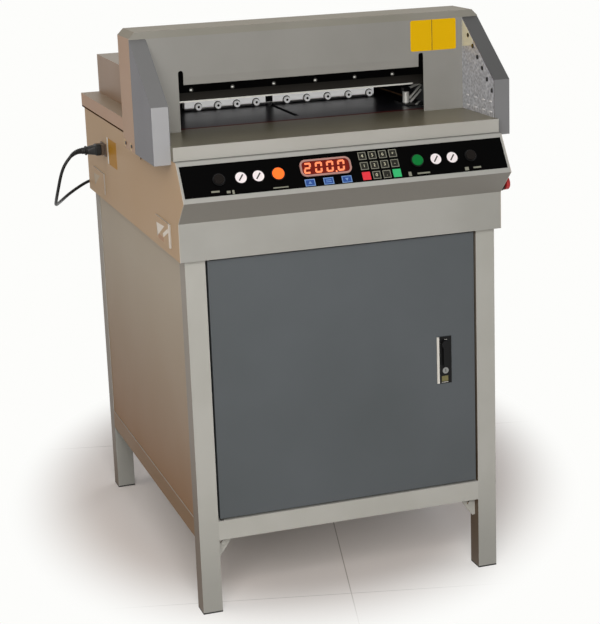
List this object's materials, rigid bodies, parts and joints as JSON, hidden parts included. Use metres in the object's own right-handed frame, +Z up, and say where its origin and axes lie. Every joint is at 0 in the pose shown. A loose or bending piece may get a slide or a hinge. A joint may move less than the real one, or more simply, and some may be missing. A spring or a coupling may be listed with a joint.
{
  "type": "electric paper cutter",
  "caption": "Free-standing electric paper cutter with motor-driven knife, clamp and back gauge under a hood, a sloping control panel, and a cabinet with a lockable hinged door.",
  "frame": {"origin": "on the floor, midway under the machine's bounding box without the mains lead", "axes": "+X to the operator's right, -Y towards the operator, +Z up"},
  "size_m": [0.803, 0.9942, 1.142],
  "materials": {
    "stand_paint": "satin powder coat, light grey with fine texture",
    "foot_plastic": "moulded black",
    "screw_steel": "bright zinc plated or ground steel",
    "door_paint": "satin powder coat, blue grey",
    "black_plastic": "moulded, slightly grained",
    "cylinder_chrome": "polished",
    "body_paint": "satin powder coat, warm light grey",
    "panel_black": "printed film, semi gloss",
    "display_clear": "red tinted clear window in a white frame",
    "cut_button_brown": "translucent dark amber",
    "power_button_red": "moulded red",
    "reset_button_green": "translucent green",
    "table_iron": "ground flat, lightly oiled",
    "stick_red": "extruded dark red",
    "hood_paint": "satin powder coat, mid grey",
    "liner_steel": "grey hammered coat",
    "lens_clear": "clear lens, polished",
    "guard_black": "black satin",
    "knife_steel": "ground",
    "gauge_aluminium": "milled",
    "belt_rubber": "ribbed inside",
    "cord_black": "smooth black sheath"
  },
  "bodies": {
    "machine": {"leg_front_left": "stand_paint", "leg_front_right": "stand_paint", "leg_rear_left": "stand_paint", "leg_rear_right": "stand_paint", "lower_rails": "stand_paint", "rail_gussets": "stand_paint", "stand_side_left": "stand_paint", "stand_side_right": "stand_paint", "stand_back": "stand_paint", "stand_floor": "stand_paint", "leg_plugs": "foot_plastic", "door_hinges": "screw_steel", "lock_strike": "screw_steel", "panel_screws": "screw_steel", "power_inlet": "black_plastic", "button_collars": "black_plastic", "cord_clip": "black_plastic", "access_covers": "body_paint", "body_tray": "body_paint", "body_side_left": "body_paint", "body_side_right": "body_paint", "console_housing": "body_paint", "table_apron": "body_paint", "rear_lid": "body_paint", "rear_cover": "body_paint", "control_fascia": "panel_black", "display_window": "display_clear", "table_deck": "table_iron", "knife_frames": "table_iron", "top_beam": "table_iron", "cutting_stick": "stick_red", "hood_front_panel": "hood_paint", "hood_shell": "hood_paint", "cheek_left": "hood_paint", "cheek_right": "hood_paint", "cheek_liners": "liner_steel", "sensor_lenses": "lens_clear", "knife_guard": "guard_black", "gear_motors": "guard_black", "side_guide": "knife_steel", "drive_belts": "belt_rubber", "cord_connector": "cord_black", "cord_lead": "cord_black", "cord_coil": "cord_black", "mains_plug": "cord_black"},
    "door": {"door_panel": "door_paint", "lock_housing": "black_plastic"},
    "door_handle": {"lock_handle": "black_plastic", "lock_cam": "screw_steel"},
    "lock_plug": {"lock_cylinder": "cylinder_chrome"},
    "cut_left": {"cut_button_left": "cut_button_brown"},
    "cut_right": {"cut_button_right": "cut_button_brown"},
    "power": {"power_button": "power_button_red"},
    "reset": {"reset_button": "reset_button_green"},
    "stop": {"stop_button": "power_button_red"},
    "knife": {"knife_carriage": "knife_steel", "knife_blade": "knife_steel"},
    "knife_lift_nut": {"knife_nut": "screw_steel"},
    "knife_spindle": {"knife_screw": "screw_steel"},
    "clamp": {"clamp_bar": "guard_black"},
    "clamp_spindle": {"clamp_screw": "screw_steel"},
    "gauge": {"back_gauge": "gauge_aluminium"},
    "gauge_spindle": {"gauge_screw": "screw_steel"}
  },
  "joints": [
    {"name": "door_swing", "type": "hinge", "parent": "machine", "child": "door", "pos_m": [-0.2705, -0.3875, 0.455], "axis": [0, 0, -1], "range_deg": [0, 105]},
    {"name": "lock_turn", "type": "hinge", "parent": "door", "child": "door_handle", "pos_m": [0.2095, -0.3915, 0.498], "axis": [0, -1, 0], "range_deg": [0, 90]},
    {"name": "key_turn", "type": "hinge", "parent": "door", "child": "lock_plug", "pos_m": [0.2095, -0.3915, 0.442], "axis": [0, -1, 0], "range_deg": [0, 90]},
    {"name": "cut_left_press", "type": "slide", "parent": "machine", "child": "cut_left", "axis": [0, 0.8339, -0.5519], "range_m": [0, 0.0025], "stiffness_N_per_m": 600, "springref_m": -0.002},
    {"name": "cut_right_press", "type": "slide", "parent": "machine", "child": "cut_right", "axis": [0, 0.8339, -0.5519], "range_m": [0, 0.0025], "stiffness_N_per_m": 600, "springref_m": -0.002},
    {"name": "power_press", "type": "slide", "parent": "machine", "child": "power", "axis": [0, 0.8339, -0.5519], "range_m": [0, 0.0025], "stiffness_N_per_m": 600, "springref_m": -0.002},
    {"name": "reset_press", "type": "slide", "parent": "machine", "child": "reset", "axis": [0, 0.8339, -0.5519], "range_m": [0, 0.0025], "stiffness_N_per_m": 600, "springref_m": -0.002},
    {"name": "stop_press", "type": "slide", "parent": "machine", "child": "stop", "axis": [-1, 0, 0], "range_m": [0, 0.004], "stiffness_N_per_m": 600, "springref_m": -0.002},
    {"name": "knife_stroke", "type": "slide", "parent": "machine", "child": "knife", "axis": [0.4672, 0, -0.8842], "range_m": [0, 0.08562]},
    {"name": "knife_nut_travel", "type": "slide", "parent": "machine", "child": "knife_lift_nut", "axis": [0, 0, -1], "range_m": [0, 0.0758]},
    {"name": "knife_screw_turn", "type": "hinge", "parent": "machine", "child": "knife_spindle", "pos_m": [0.15, -0.1625, 1.08], "axis": [0, 0, 1], "range_deg": [0, 2727]},
    {"name": "clamp_stroke", "type": "slide", "parent": "machine", "child": "clamp", "axis": [0, 0, -1], "range_m": [0, 0.05]},
    {"name": "clamp_screw_turn", "type": "hinge", "parent": "machine", "child": "clamp_spindle", "pos_m": [-0.014, -0.1675, 1.08], "axis": [0, 0, 1], "range_deg": [0, 1801]},
    {"name": "gauge_travel", "type": "slide", "parent": "machine", "child": "gauge", "axis": [0, 1, 0], "range_m": [-0.175, 0.24]},
    {"name": "gauge_screw_turn", "type": "hinge", "parent": "machine", "child": "gauge_spindle", "pos_m": [-0.004, 0.1, 0.898], "axis": [0, 1, 0], "range_deg": [-6301, 8641]}
  ],
  "couplings": [
    {"joint": "knife_nut_travel", "follows": "knife_stroke", "ratio": 0.88416},
    {"joint": "knife_screw_turn", "follows": "knife_stroke", "rad_per_m": 555.53},
    {"joint": "clamp_screw_turn", "follows": "clamp_stroke", "rad_per_m": 628.32},
    {"joint": "gauge_screw_turn", "follows": "gauge_travel", "rad_per_m": 628.32}
  ]
}
